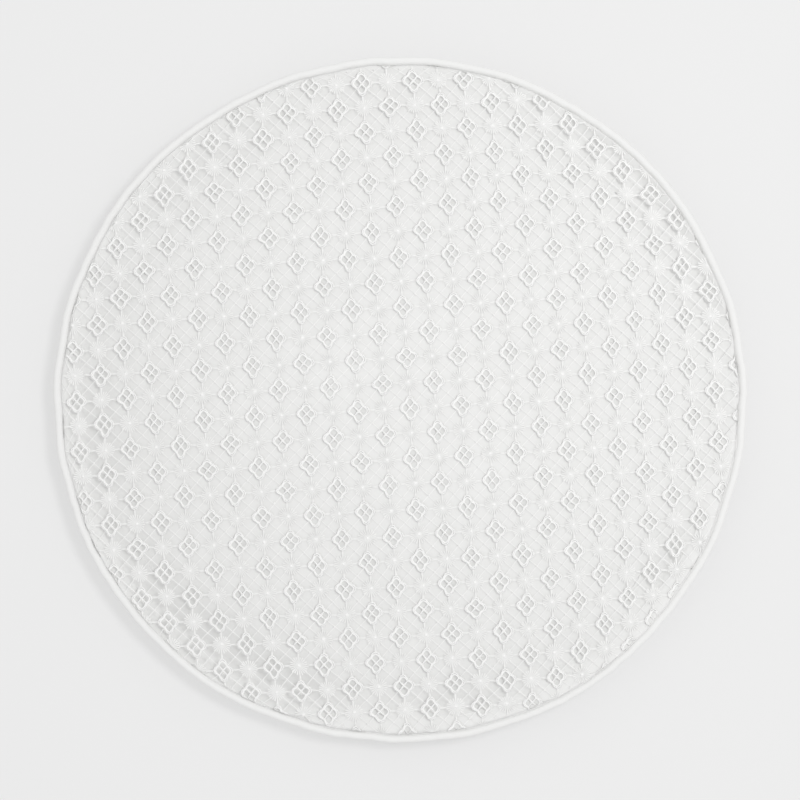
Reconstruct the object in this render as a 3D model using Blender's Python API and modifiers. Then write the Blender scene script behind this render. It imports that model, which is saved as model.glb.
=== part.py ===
"""A round, fairly flat cushion with a lace face, lying face up, with a zip in its side seam.

Metres, +Z up. The origin is the middle of the flat patch that the cushion rests on. The soft
layers are turned shells. Each is drawn as a line of (radius, height) points that runs clockwise:
outwards along its top and inwards along its underside. Neighbours keep FIT clear of each other.
"""

import math

import bmesh
import bpy
from mathutils import Matrix, Vector

# The whole cushion
RADIUS = 0.200  # to the outer edge of the piping
SEAM_Z = 0.022  # height of the seam that the piping is sewn into
REST_RADIUS = 0.125  # of the flat patch that it lies on
SIDE_RADIUS = 0.193  # of the back panel, just under the piping
FIT = 0.0003
TURN_STEPS = 36
BACK_STEPS = 72  # finer, because the zip fits closely behind the back panel
SHARP_ANGLE = math.radians(30)

# Cloth
LACE_THICK = 0.0012
LINING_THICK = 0.0004
BACK_THICK = 0.0008
CASING_THICK = 0.0005
PIPING_THICK = 0.0004
ALLOWANCE_RADIUS = 0.1865  # inner edge of every seam allowance

# Piping
PIPING_RADIUS = 0.00225
CORD_RADIUS = PIPING_RADIUS - PIPING_THICK - FIT
RING_RADIUS = RADIUS - PIPING_RADIUS  # of the cord's middle
LEAF_GAP = 0.00015  # half of the gap between the strip's two leaves
LEAF_Z = LEAF_GAP + PIPING_THICK  # half of the piping's allowance

# Domes of the front
DOME_POWER = 0.8
LINING_RADIUS = 0.180  # where the lining comes down to its seam allowance
LINING_RISE = 0.016
LINING_Z = SEAM_Z + LEAF_Z + FIT + LINING_THICK  # top of the lining's allowance
LACE_LIFT = 0.0005  # between the lining and the lace
LACE_LEAVES = 0.146  # radius where the lace leaves the lining and runs straight to the rim
LACE_RADIUS = 0.1952
LACE_Z = LINING_Z + FIT + LACE_THICK  # top of the lace's allowance
LACE_EDGE = 0.1915  # where the lace turns level

# Back
BACK_POWER = 2.5  # of the superellipse from the side to the flat patch
BACK_TOP = SEAM_Z - LEAF_Z - FIT
BACK_POINTS = 8

# Inner pad
PAD_RADIUS = 0.183
PAD_Z = SEAM_Z - 0.003  # of the pad's own seam
PAD_RISE = 0.0196
PAD_REST_RADIUS = 0.122
PAD_BOTTOM = BACK_THICK + 0.0004
FRONT_POINTS = 7

# Zip. Across it, s runs up from its middle and n outwards from the face of its tapes.
ZIP_Z = 0.0145
ZIP_DEPTH = 0.0022  # of the tapes' face, inside the back panel's outer side
ZIP_FROM, ZIP_TO = math.radians(-103), math.radians(-7)  # the opening in the back panel
TAPE_FROM, TAPE_TO = math.radians(-102.7), math.radians(-7.3)
COIL_FROM, COIL_TO = math.radians(-99.5), math.radians(-10.5)
TOP_STOP_ANGLE = math.radians(-100.6)
BOTTOM_STOP_ANGLE = math.radians(-9.4)
SLIDER_ANGLE = math.radians(-98)  # closed
ZIP_STEPS = 38
TAPE_THICK = 0.0006
TAPE_EDGE = 0.0009
TAPE_BACKING = 0.0005  # between the back panel and the tape behind it
COIL_NEAR, COIL_FAR = 0.0008, 0.0030
COIL_LOW, COIL_HIGH = 0.0003, 0.0019
OPENING_EDGE = 0.0047  # from the zip's middle down to the back panel's folded edge
STOP_LENGTH = 0.0018

# Slider and pull
SLIDER_LENGTH = 0.009
SLIDER_HALF = 0.0040
PLATE_THICK = 0.0009
PLATE_LOW = COIL_HIGH + FIT
LIP_NEAR = COIL_FAR + FIT
INNER_HALF = 0.0036
INNER_GAP = 0.0005
POST_HALF = 0.0005
POST_END = -0.0015
BRIDGE_HALF_LENGTH = 0.0030
BRIDGE_HALF_WIDTH = 0.0008
BRIDGE_THICK = 0.0008
BRIDGE_ROOM = 0.0015
PULL_HALF_THICK = 0.0004
PULL_ARM_NEAR, PULL_ARM_FAR = 0.0012, 0.0022
PULL_NECK = 0.0045  # from the hinge to where the arms meet the tab
PULL_LENGTH = 0.020
PULL_HALF_WIDTH = 0.0031
PULL_HOLE_RADIUS = 0.0013
PULL_HOLE_AT = 0.0165
HINGE_HEIGHT = PLATE_LOW + PLATE_THICK + BRIDGE_ROOM / 2

# Label
LABEL_FROM, LABEL_TO = math.radians(-118), math.radians(-110.5)
LABEL_THICK = 0.0005


def clear_scene():
    for obj in list(bpy.data.objects):
        bpy.data.objects.remove(obj, do_unlink=True)


def new_collection(name):
    collection = bpy.data.collections.new(name)
    bpy.context.scene.collection.children.link(collection)
    return collection


def material(name, colour, roughness, metallic=0.0):
    made = bpy.data.materials.new(name)
    made.use_nodes = True
    shader = made.node_tree.nodes["Principled BSDF"]
    shader.inputs["Base Color"].default_value = (*colour, 1)
    shader.inputs["Roughness"].default_value = roughness
    shader.inputs["Metallic"].default_value = metallic
    made.diffuse_color = (*colour, 1)
    return made


def add_object(name, mesh, finish, home):
    obj = bpy.data.objects.new(name, mesh)
    home.objects.link(obj)
    if finish:
        mesh.materials.append(finish)
    return obj


def offset_line(line, distance):
    """The line moved to its right, which is inwards, with mitred corners. Ends on the axis stay on it."""
    sides = []
    for (r0, z0), (r1, z1) in zip(line, line[1:]):
        sides.append(Vector((z1 - z0, r0 - r1)).normalized())
    moved = []
    for i, (r, z) in enumerate(line):
        before = sides[max(i - 1, 0)]
        after = sides[min(i, len(sides) - 1)]
        shift = distance * (before + after) / (1 + before.dot(after))
        moved.append((r + shift.x if r > 0 else 0.0, z + shift.y))
    return moved


def shell(line, thickness):
    """The closed section of a cloth whose outer face is the line."""
    return line + offset_line(line, thickness)[::-1]


def turned(name, profile, steps, finish, home):
    """A closed profile turned about the Z axis. An edge that lies on the axis is left out."""
    mesh = bpy.data.meshes.new(name)
    edges = []
    for i, (radius, _) in enumerate(profile):
        following = (i + 1) % len(profile)
        if radius > 0 or profile[following][0] > 0:
            edges.append((i, following))
    mesh.from_pydata([(r, 0, z) for r, z in profile], edges, [])
    obj = add_object(name, mesh, finish, home)
    screw = obj.modifiers.new("Turn", "SCREW")
    screw.steps = screw.render_steps = steps
    screw.use_merge_vertices = True
    screw.merge_threshold = 0.00001
    screw.use_smooth_shade = True
    return obj


def swept(name, section, start, end, steps, finish, home):
    """A flat section carried round the Z axis from one angle to another, with closed ends."""
    bm = bmesh.new()
    turn = Matrix.Rotation(start, 3, "Z")
    bm.faces.new([bm.verts.new(turn @ Vector((r, 0, z))) for r, z in section])
    geometry = bm.verts[:] + bm.edges[:] + bm.faces[:]
    bmesh.ops.spin(bm, geom=geometry, axis=(0, 0, 1), cent=(0, 0, 0), angle=end - start, steps=steps)
    bmesh.ops.recalc_face_normals(bm, faces=bm.faces)
    mesh = bpy.data.meshes.new(name)
    bm.to_mesh(mesh)
    bm.free()
    mesh.shade_smooth()
    mesh.set_sharp_from_angle(angle=SHARP_ANGLE)
    return add_object(name, mesh, finish, home)


def block(name, low, high, place, finish, home):
    """A box between two corners of the zip's own axes, carried to its place."""
    middle = [(a + b) / 2 for a, b in zip(low, high)]
    size = [b - a for a, b in zip(low, high)]
    bm = bmesh.new()
    matrix = Matrix.Translation(middle) @ Matrix.Diagonal((*size, 1))
    bmesh.ops.create_cube(bm, size=1, matrix=matrix)
    mesh = bpy.data.meshes.new(name)
    bm.to_mesh(mesh)
    bm.free()
    mesh.transform(place)
    return add_object(name, mesh, finish, home)


def boolean(obj, other, operation):
    modifier = obj.modifiers.new(operation.title(), "BOOLEAN")
    modifier.operation = operation
    modifier.solver = "EXACT"
    modifier.object = other
    other.hide_render = True
    other.display_type = "WIRE"


# Lines of the cloth


def dome(radius, base, rise, reach):
    return base + rise * max(0.0, 1 - (radius / reach) ** 2) ** DOME_POWER


def dome_line(base, rise, reach, points):
    """From the crown to the foot of a dome. The points crowd towards the foot, where it is steep."""
    line = []
    for i in range(points + 1):
        radius = reach * math.sin(i / points * math.pi / 2)
        line.append((radius, dome(radius, base, rise, reach)))
    return line


def side_line(top, bottom, outer, inner, points):
    """A superellipse from the side of a back, at the top, down to the edge of its flat patch."""
    line = []
    for i in range(points + 1):
        angle = i / points * math.pi / 2
        across = max(0.0, math.cos(angle)) ** (2 / BACK_POWER)
        down = math.sin(angle) ** (2 / BACK_POWER)
        line.append((inner + (outer - inner) * across, top - (top - bottom) * down))
    line[-1] = (inner, bottom)
    return line


def lining_line():
    line = dome_line(LINING_Z, LINING_RISE, LINING_RADIUS, FRONT_POINTS)
    return line + [(LACE_RADIUS, LINING_Z)]


def lace_line():
    """Over the dome at first, then straight to its allowance."""
    rise = LACE_LIFT + LACE_THICK
    line = []
    for i in range(FRONT_POINTS - 1):
        radius = LACE_LEAVES * math.sin(i / (FRONT_POINTS - 2) * math.pi / 2)
        line.append((radius, dome(radius, LINING_Z + rise, LINING_RISE, LINING_RADIUS)))
    return line + [(LACE_EDGE, LACE_Z), (LACE_RADIUS, LACE_Z)]


def back_line():
    line = side_line(BACK_TOP, 0.0, SIDE_RADIUS, REST_RADIUS, BACK_POINTS)
    return [(ALLOWANCE_RADIUS, BACK_TOP)] + line + [(0.0, 0.0)]


def pad_front_line():
    return dome_line(PAD_Z + FIT / 2, PAD_RISE, PAD_RADIUS, FRONT_POINTS)


def pad_back_line():
    line = side_line(PAD_Z - FIT / 2, PAD_BOTTOM, PAD_RADIUS, PAD_REST_RADIUS, BACK_POINTS - 2)
    return line + [(0.0, PAD_BOTTOM)]


# The zip's own axes


def zip_directions():
    """Its middle, and the unit vectors up across it and outwards from it, all as (radius, height)."""
    height = BACK_TOP
    reach = SIDE_RADIUS - REST_RADIUS
    drop = 1 - ZIP_Z / height
    rest = 1 - drop**BACK_POWER
    slope = reach / height * drop ** (BACK_POWER - 1) * rest ** (1 / BACK_POWER - 1)
    up = Vector((slope, 1)).normalized()
    out = Vector((up.y, -up.x))
    on_side = Vector((REST_RADIUS + reach * rest ** (1 / BACK_POWER), ZIP_Z))
    return on_side - ZIP_DEPTH * out, up, out


def zip_point(s, n):
    """The (radius, height) of a point given across the zip and outwards from its tapes' face."""
    middle, up, out = zip_directions()
    point = middle + s * up + n * out
    return point.x, point.y


def zip_place(angle):
    """X along the zip, Y up across it and Z outwards, at an angle round the cushion."""
    middle, up, out = zip_directions()
    axes = Matrix(((0, up.x, out.x, middle.x), (1, 0, 0, 0), (0, up.y, out.y, middle.y), (0, 0, 0, 1)))
    return Matrix.Rotation(angle, 4, "Z") @ axes


# Sub-parts


def make_lace_panel(home):
    finish = material("cotton_guipure_lace", (0.89, 0.89, 0.88), 0.85)
    turned("lace_panel", shell(lace_line(), LACE_THICK), TURN_STEPS, finish, home)


def make_front_lining(home):
    finish = material("white_cotton_lining", (0.86, 0.86, 0.85), 0.9)
    turned("front_lining", shell(lining_line(), LINING_THICK), TURN_STEPS, finish, home)


def make_back_panel(home, helpers):
    """The bowl of the back, cut away above the zip's lower tape."""
    finish = material("natural_cotton_back", (0.84, 0.83, 0.81), 0.9)
    panel = turned("back_panel", shell(back_line(), BACK_THICK), BACK_STEPS, finish, home)
    above = SEAM_Z + 0.002
    section = [
        zip_point(-OPENING_EDGE, 0.005),
        zip_point(-OPENING_EDGE, -0.003),
        (ALLOWANCE_RADIUS - 0.003, above),
        (RADIUS, above),
    ]
    cutter = swept("zip_opening", section, ZIP_FROM, ZIP_TO, ZIP_STEPS, None, helpers)
    boolean(panel, cutter, "DIFFERENCE")


def make_piping(home):
    """A bias strip folded round a cord: an open loop, and two leaves that run into the seam."""
    cover = material("white_cotton_bias_strip", (0.88, 0.88, 0.87), 0.85)
    core = material("cotton_cord", (0.80, 0.79, 0.76), 0.9)
    bore = PIPING_RADIUS - PIPING_THICK
    profile = [(ALLOWANCE_RADIUS, SEAM_Z + LEAF_Z)]
    for radius, half, count, way in ((PIPING_RADIUS, LEAF_Z, 10, 1), (bore, LEAF_GAP, 8, -1)):
        start = math.pi - math.asin(half / radius)
        for i in range(count + 1):
            angle = way * start * (1 - 2 * i / count)
            profile.append((RING_RADIUS + radius * math.cos(angle), SEAM_Z + radius * math.sin(angle)))
        if way == 1:
            profile.append((ALLOWANCE_RADIUS, SEAM_Z - LEAF_Z))
            profile.append((ALLOWANCE_RADIUS, SEAM_Z - LEAF_GAP))
    profile.append((ALLOWANCE_RADIUS, SEAM_Z + LEAF_GAP))
    turned("piping_cover", profile, TURN_STEPS, cover, home)
    ring = []
    for i in range(6):
        angle = -i / 6 * math.tau
        ring.append((RING_RADIUS + CORD_RADIUS * math.cos(angle), SEAM_Z + CORD_RADIUS * math.sin(angle)))
    turned("piping_cord", ring, TURN_STEPS, core, home)


def make_pad(home):
    casing = material("plain_weave_casing", (0.85, 0.85, 0.84), 0.9)
    fibre = material("polyester_fibre", (0.90, 0.90, 0.90), 0.95)
    front, back = pad_front_line(), pad_back_line()
    front_inside = offset_line(front, CASING_THICK)
    front_inside[-1] = (front_inside[-1][0], front[-1][1])
    back_inside = offset_line(back, CASING_THICK)
    back_inside[0] = (back_inside[0][0], back[0][1])
    turned("pad_casing_front", front + front_inside[::-1], TURN_STEPS, casing, home)
    turned("pad_casing_back", back + back_inside[::-1], TURN_STEPS, casing, home)
    upper = offset_line(front_inside, FIT)
    lower = offset_line(back_inside, FIT)
    turned("pad_filling", upper[:-1] + lower[1:], TURN_STEPS, fibre, home)


def make_zip_chain(home):
    tape = material("woven_polyester_tape", (0.85, 0.85, 0.84), 0.8)
    nylon = material("nylon_coil", (0.88, 0.88, 0.87), 0.45)
    corner = []
    for level, n in ((BACK_TOP, 0.0), (BACK_TOP - TAPE_THICK, -TAPE_THICK)):
        near, far = zip_point(0, n), zip_point(1, n)
        share = (level - near[1]) / (far[1] - near[1])
        corner.append((near[0] + share * (far[0] - near[0]), level))
    upper = [
        zip_point(TAPE_EDGE, 0),
        zip_point(TAPE_EDGE, -TAPE_THICK),
        corner[1],
        (ALLOWANCE_RADIUS, BACK_TOP - TAPE_THICK),
        (ALLOWANCE_RADIUS, BACK_TOP),
        corner[0],
    ]
    swept("zip_tape_upper", upper, TAPE_FROM, TAPE_TO, ZIP_STEPS, tape, home)
    behind = slice(3, 6)  # the side line's points that the lower tape lies behind
    face = offset_line(back_line(), BACK_THICK + TAPE_BACKING)[behind]
    rear = offset_line(back_line(), BACK_THICK + TAPE_BACKING + TAPE_THICK)[behind]
    lower = [zip_point(-TAPE_EDGE, 0), *face, *rear[::-1], zip_point(-TAPE_EDGE, -TAPE_THICK)]
    swept("zip_tape_lower", lower, TAPE_FROM, TAPE_TO, ZIP_STEPS, tape, home)
    for name, way in (("zip_coil_upper", 1), ("zip_coil_lower", -1)):
        section = [
            zip_point(way * COIL_NEAR, COIL_LOW),
            zip_point(way * COIL_FAR, COIL_LOW),
            zip_point(way * COIL_FAR, COIL_HIGH),
            zip_point(way * COIL_NEAR, COIL_HIGH),
        ]
        swept(name, section, COIL_FROM, COIL_TO, ZIP_STEPS, nylon, home)


def make_zip_stops(home):
    finish = material("nickel_stop", (0.72, 0.72, 0.72), 0.35, 1.0)
    spans = (
        ("zip_top_stop_upper", TOP_STOP_ANGLE, COIL_NEAR, COIL_FAR),
        ("zip_top_stop_lower", TOP_STOP_ANGLE, -COIL_FAR, -COIL_NEAR),
        ("zip_bottom_stop", BOTTOM_STOP_ANGLE, -COIL_FAR, COIL_FAR),
    )
    for name, angle, low, high in spans:
        start = (-STOP_LENGTH / 2, low, COIL_LOW)
        end = (STOP_LENGTH / 2, high, COIL_HIGH + FIT)
        block(name, start, end, zip_place(angle), finish, home)


def make_zip_slider(home, helpers):
    """Two plates joined by a post between the coils, lips beside them, and a bridge for the pull."""
    finish = material("white_lacquered_zinc", (0.86, 0.86, 0.86), 0.3)
    half = SLIDER_LENGTH / 2
    top = PLATE_LOW + PLATE_THICK
    inner = -TAPE_THICK - INNER_GAP
    bridge_low = top + BRIDGE_ROOM
    bridge_top = bridge_low + BRIDGE_THICK
    overlap = 0.0002
    place = zip_place(0)
    slider = block(
        "zip_slider", (-half, -SLIDER_HALF, PLATE_LOW), (half, SLIDER_HALF, top), place, finish, home
    )
    joined = {
        "post": ((-half, -POST_HALF, inner - overlap), (POST_END, POST_HALF, top - overlap)),
        "inner_plate": ((-half, -INNER_HALF, inner - PLATE_THICK), (half, INNER_HALF, inner)),
        "lip_upper": ((-half, LIP_NEAR, COIL_LOW), (half, SLIDER_HALF, top - overlap)),
        "lip_lower": ((-half, -SLIDER_HALF, COIL_LOW), (half, -LIP_NEAR, top - overlap)),
        "bridge": (
            (-BRIDGE_HALF_LENGTH, -BRIDGE_HALF_WIDTH, top - overlap),
            (BRIDGE_HALF_LENGTH, BRIDGE_HALF_WIDTH, bridge_top),
        ),
    }
    for name, (low, high) in joined.items():
        boolean(slider, block("slider_" + name, low, high, place, None, helpers), "UNION")
    room = BRIDGE_HALF_LENGTH - BRIDGE_THICK
    low = (-room, -2 * BRIDGE_HALF_WIDTH, top)
    high = (room, 2 * BRIDGE_HALF_WIDTH, bridge_low)
    boolean(slider, block("slider_bridge_room", low, high, place, None, helpers), "DIFFERENCE")
    slider.rotation_euler.z = SLIDER_ANGLE
    for helper in helpers.objects:
        if helper.name.startswith("slider_"):
            helper.rotation_euler.z = SLIDER_ANGLE
    return slider


def make_zip_pull(slider, home, helpers):
    """A tab on two arms that swing on a bar under the slider's bridge. Its origin is on the bar."""
    finish = material("white_lacquered_pull", (0.86, 0.86, 0.86), 0.3)
    half = PULL_HALF_THICK
    place = Matrix.Identity(4)
    low, high = (PULL_NECK, -PULL_HALF_WIDTH, -half), (PULL_LENGTH, PULL_HALF_WIDTH, half)
    pull = block("zip_pull", low, high, place, finish, home)
    pull.parent = slider
    pull.matrix_local = zip_place(0) @ Matrix.Translation((0, 0, HINGE_HEIGHT))
    overlap = 0.0005
    joined = {
        "arm_upper": ((-half, PULL_ARM_NEAR, -half), (PULL_NECK + overlap, PULL_ARM_FAR, half)),
        "arm_lower": ((-half, -PULL_ARM_FAR, -half), (PULL_NECK + overlap, -PULL_ARM_NEAR, half)),
        "bar": ((-half, -PULL_ARM_FAR, -half), (half, PULL_ARM_FAR, half)),
    }
    for name, (low, high) in joined.items():
        helper = block("pull_" + name, low, high, place, None, helpers)
        helper.parent = pull
        boolean(pull, helper, "UNION")
    bm = bmesh.new()
    matrix = Matrix.Translation((PULL_HOLE_AT, 0, 0))
    radius = PULL_HOLE_RADIUS
    bmesh.ops.create_cone(
        bm, cap_ends=True, segments=12, radius1=radius, radius2=radius, depth=6 * half, matrix=matrix
    )
    mesh = bpy.data.meshes.new("pull_hole")
    bm.to_mesh(mesh)
    bm.free()
    hole = add_object("pull_hole", mesh, None, helpers)
    hole.parent = pull
    boolean(pull, hole, "DIFFERENCE")


def make_care_label(home):
    """A blank folded label that hangs from the seam and lies on the back panel's side."""
    finish = material("satin_label", (0.87, 0.87, 0.87), 0.5)
    side = back_line()[1:6]
    side[0] = (side[0][0], side[0][1] - 0.0006)
    section = offset_line(side, -FIT - LABEL_THICK) + offset_line(side, -FIT)[::-1]
    swept("care_label", section, LABEL_FROM, LABEL_TO, 3, finish, home)


def main():
    clear_scene()
    home = new_collection("round_lace_cushion")
    helpers = new_collection("cutters")
    make_lace_panel(home)
    make_front_lining(home)
    make_back_panel(home, helpers)
    make_piping(home)
    make_pad(home)
    make_zip_chain(home)
    make_zip_stops(home)
    slider = make_zip_slider(home, helpers)
    make_zip_pull(slider, home, helpers)
    make_care_label(home)


main()
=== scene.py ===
# %% [markdown]
# # A round cushion with a lace face
# The cushion is sewn from flat cloth and filled by a pad. The exact solids of its parts are loaded
# first, as a frame that never moves. Each piece made below goes where that frame says, and replaces
# a plain solid by what a sewer would see: threads, cloth, cord, coils and cast metal.

# %% Load the frame
import math

import bpy
import numpy as np
from mathutils import Matrix, Vector
from mathutils.bvhtree import BVHTree


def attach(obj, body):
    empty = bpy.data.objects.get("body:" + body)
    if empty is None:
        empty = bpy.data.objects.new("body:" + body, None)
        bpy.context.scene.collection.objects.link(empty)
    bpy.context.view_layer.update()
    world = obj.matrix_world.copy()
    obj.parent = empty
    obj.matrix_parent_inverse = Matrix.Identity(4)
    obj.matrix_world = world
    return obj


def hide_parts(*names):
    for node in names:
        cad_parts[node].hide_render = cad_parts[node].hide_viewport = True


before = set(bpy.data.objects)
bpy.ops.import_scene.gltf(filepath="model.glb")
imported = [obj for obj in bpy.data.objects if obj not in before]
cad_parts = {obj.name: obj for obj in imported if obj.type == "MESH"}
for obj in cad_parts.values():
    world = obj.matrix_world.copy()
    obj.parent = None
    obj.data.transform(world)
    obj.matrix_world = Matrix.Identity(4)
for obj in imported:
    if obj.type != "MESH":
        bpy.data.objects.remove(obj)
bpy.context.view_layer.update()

MM = 0.001
scene = bpy.context.scene

# %% [markdown]
# ## Small tools
# Blender's operators act on whatever is selected, so each piece starts from nothing selected. It
# ends with its object at the origin and its place in its mesh.


# %% Selecting, applying and riding
def select_only(*objs):
    if bpy.context.mode != "OBJECT":
        bpy.ops.object.mode_set(mode="OBJECT")
    bpy.ops.object.select_all(action="DESELECT")
    for obj in objs:
        obj.select_set(True)
    bpy.context.view_layer.objects.active = objs[0] if objs else None


def named(name):
    """The piece that an operator has just added, under its own name."""
    made = bpy.context.active_object
    made.name = made.data.name = name
    return made


def new_object(name, data):
    obj = bpy.data.objects.new(name, data)
    scene.collection.objects.link(obj)
    return obj


def add_modifier(obj, kind, **settings):
    made = obj.modifiers.new(kind.title(), kind)
    for name, value in settings.items():
        setattr(made, name, value)
    return made


def apply_all(obj):
    select_only(obj)
    for modifier in list(obj.modifiers):
        bpy.ops.object.modifier_apply(modifier=modifier.name)


def points_of(obj):
    flat = np.empty(len(obj.data.vertices) * 3)
    obj.data.vertices.foreach_get("co", flat)
    return flat.reshape(-1, 3)


def set_points(obj, points):
    obj.data.vertices.foreach_set("co", points.astype(np.float32).ravel())
    obj.data.update()


def dress(obj, finish):
    obj.data.materials.clear()
    obj.data.materials.append(finish)


def done(obj, finish, body, replaced=()):
    """Gives a finished piece its material, its body, and the plain solids that it stands for."""
    dress(obj, finish)
    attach(obj, body)
    if replaced:
        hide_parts(*replaced)
    triangles = sum(len(face.vertices) - 2 for face in obj.data.polygons)
    print(f"{obj.name}: {triangles} triangles, {len(obj.data.vertices)} vertices")


# %% Editing a mesh, and smoothing it
def edit(obj, operator, chosen=None, **settings):
    """Runs an operator in edit mode on all of a piece, or on what is chosen: a kind, and a test of each."""
    select_only(obj)
    bpy.ops.object.mode_set(mode="EDIT")
    bpy.ops.mesh.select_all(action="SELECT")
    if chosen:
        kind, wanted = chosen
        bpy.ops.mesh.select_mode(type=kind)
        bpy.ops.mesh.select_all(action="DESELECT")
        bpy.ops.object.mode_set(mode="OBJECT")
        mesh = obj.data
        for part in {"VERT": mesh.vertices, "EDGE": mesh.edges, "FACE": mesh.polygons}[kind]:
            part.select = bool(wanted(part))
        bpy.ops.object.mode_set(mode="EDIT")
    operator(**settings)
    bpy.ops.object.mode_set(mode="OBJECT")


def smooth_by(obj, degrees):
    select_only(obj)
    bpy.ops.object.shade_smooth_by_angle(angle=math.radians(degrees))


# %% Colours and nodes
def linear(hex_code):
    """An sRGB hex colour as the linear values that shaders use."""
    shares = [int(hex_code[i : i + 2], 16) / 255 for i in (1, 3, 5)]
    return [c / 12.92 if c <= 0.04045 else ((c + 0.055) / 1.055) ** 2.4 for c in shares] + [1.0]


def add_node(tree, kind, inputs=None, **settings):
    """Adds a node. An input given as (node, output) is linked, and any other is set."""
    made = tree.nodes.new("ShaderNode" + kind)
    for name, value in settings.items():
        setattr(made, name, value)
    for socket, value in (inputs or {}).items():
        if isinstance(value, tuple) and isinstance(value[0], bpy.types.Node):
            tree.links.new(value[0].outputs[value[1]], made.inputs[socket])
        else:
            made.inputs[socket].default_value = value
    return made


def start_material(name, hex_code, roughness, **settings):
    """A new material. Each further setting is one of the shader's sockets, with _ for a space."""
    made = bpy.data.materials.new(name)
    made.use_nodes = True
    shader = made.node_tree.nodes["Principled BSDF"]
    settings.update(Base_Color=linear(hex_code), Roughness=roughness)
    for socket, value in settings.items():
        shader.inputs[socket.replace("_", " ")].default_value = value
    return made, made.node_tree, shader


def raise_surface(tree, shader, height, depth, strength=1.0):
    """Lets the height that a node gives stand out from the surface, up to depth in metres."""
    bump = add_node(tree, "Bump", {"Height": height, "Distance": depth, "Strength": strength})
    tree.links.new(bump.outputs["Normal"], shader.inputs["Normal"])


def fine_grain(tree, shader, scale, detail, depth, strength):
    """Roughens a surface with noise, read from the piece's own place. Scale is in grains a metre."""
    place = add_node(tree, "TexCoord")
    settings = {"Vector": (place, "Object"), "Scale": scale, "Detail": detail}
    raise_surface(tree, shader, (add_node(tree, "TexNoise", settings), "Fac"), depth, strength)


# %% [markdown]
# ## Camera, floor and light
# The cushion is looked at from straight above, with +Y up in the picture. A long lens keeps the rim
# from leaning. The light is what a small product studio has: an even white tent, and one fairly
# small lamp above and to the right, which draws a fine shadow beside every thread. The floor is a
# pale sheet with a little light of its own, as on a light table, so the shadow round the rim is soft.

# %% Camera
VIEW_WIDTH = 0.464
LENS = 85
SENSOR = 36
RIM_HEIGHT = 0.022

camera = new_object("camera", bpy.data.cameras.new("camera"))
scene.camera = camera
camera.data.lens = LENS
camera.data.sensor_width = SENSOR
camera.location = (0, 0, RIM_HEIGHT + VIEW_WIDTH * LENS / SENSOR)
print("camera height", round(camera.location.z, 3))

# %% Floor and light
FLOOR_GLOW = 0.43
LAMP_PLACE = Vector((0.36, 0.20, 1.25))
LAMP_SIZE = 0.28
LAMP_WATTS = 4.6
TENT_STRENGTH = 0.79

select_only()
bpy.ops.mesh.primitive_plane_add(size=40, location=(0, 0, 0))
floor = named("floor")
paper, tree, shader = start_material("matt_white_table", "#ABABAB", 0.9, Specular_IOR_Level=0.1)
shader.inputs["Emission Color"].default_value = linear("#FFFFFF")
shader.inputs["Emission Strength"].default_value = FLOOR_GLOW
fine_grain(tree, shader, 400.0, 2.0, 0.01 * MM, 0.3)
dress(floor, paper)

lamp_data = bpy.data.lights.new("lamp", "AREA")
lamp_data.shape = "DISK"
lamp_data.size = LAMP_SIZE
lamp_data.energy = LAMP_WATTS
lamp = new_object("lamp", lamp_data)
lamp.location = LAMP_PLACE
lamp.rotation_mode = "QUATERNION"
lamp.rotation_quaternion = LAMP_PLACE.to_track_quat("Z", "Y")

tent = bpy.data.worlds.new("tent")
scene.world = tent
tent.use_nodes = True
tent.node_tree.nodes["Background"].inputs["Color"].default_value = linear("#FFFFFF")
tent.node_tree.nodes["Background"].inputs["Strength"].default_value = TENT_STRENGTH
scene.view_settings.view_transform = "Standard"
print("lamp at", [round(v, 3) for v in LAMP_PLACE])

# %% [markdown]
# ## Cloth finishes
# Every white here is another cloth: a bright crisp lining, a softer back, a bias strip, a casing.
# A plain weave is two sets of threads that pass over and under each other, so its height is drawn
# from two waves at right angles. The real threads are 0.3 to 0.5 mm apart, too fine to show, so
# they are drawn 0.7 to 0.9 mm apart. Slow noise adds the unevenness of ironed cotton. The pattern
# lies on each cloth's own flat map, which is in metres.

# %% Woven cloth
FLAT_MAP = "flat"
WAVE_PER_METRE = 0.314159  # the wave texture's scale for a spacing of one metre


def woven(name, hex_code, spacing, depth, turn=0.0):
    settings = {"Sheen_Weight": 0.15, "Specular_IOR_Level": 0.25}
    finish, tree, shader = start_material(name, hex_code, 0.9, **settings)
    flat = add_node(tree, "UVMap", uv_map=FLAT_MAP)
    laid = add_node(tree, "Mapping", {"Vector": (flat, "UV"), "Rotation": (0, 0, turn)})
    scale = WAVE_PER_METRE / spacing
    both = []
    for way in ("X", "Y"):
        settings = {"Vector": (laid, "Vector"), "Scale": scale, "Distortion": 0.6, "Detail": 1.0}
        both.append(add_node(tree, "TexWave", settings, bands_direction=way))
    over = add_node(tree, "Math", {0: (both[0], "Fac"), 1: (both[1], "Fac")}, operation="MAXIMUM")
    slub = add_node(tree, "TexNoise", {"Vector": (laid, "Vector"), "Scale": 160.0, "Detail": 3.0})
    height = add_node(tree, "Math", {0: (over, 0), 1: (slub, "Fac")}, operation="ADD")
    raise_surface(tree, shader, (height, 0), depth)
    cloudy = add_node(tree, "TexNoise", {"Vector": (laid, "Vector"), "Scale": 25.0, "Detail": 2.0})
    mixed = add_node(tree, "Mix", {0: (cloudy, "Fac")}, data_type="RGBA")
    mixed.inputs[6].default_value = [0.97 * c for c in linear(hex_code)[:3]] + [1.0]
    mixed.inputs[7].default_value = linear(hex_code)
    tree.links.new(mixed.outputs[2], shader.inputs["Base Color"])
    return finish


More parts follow.
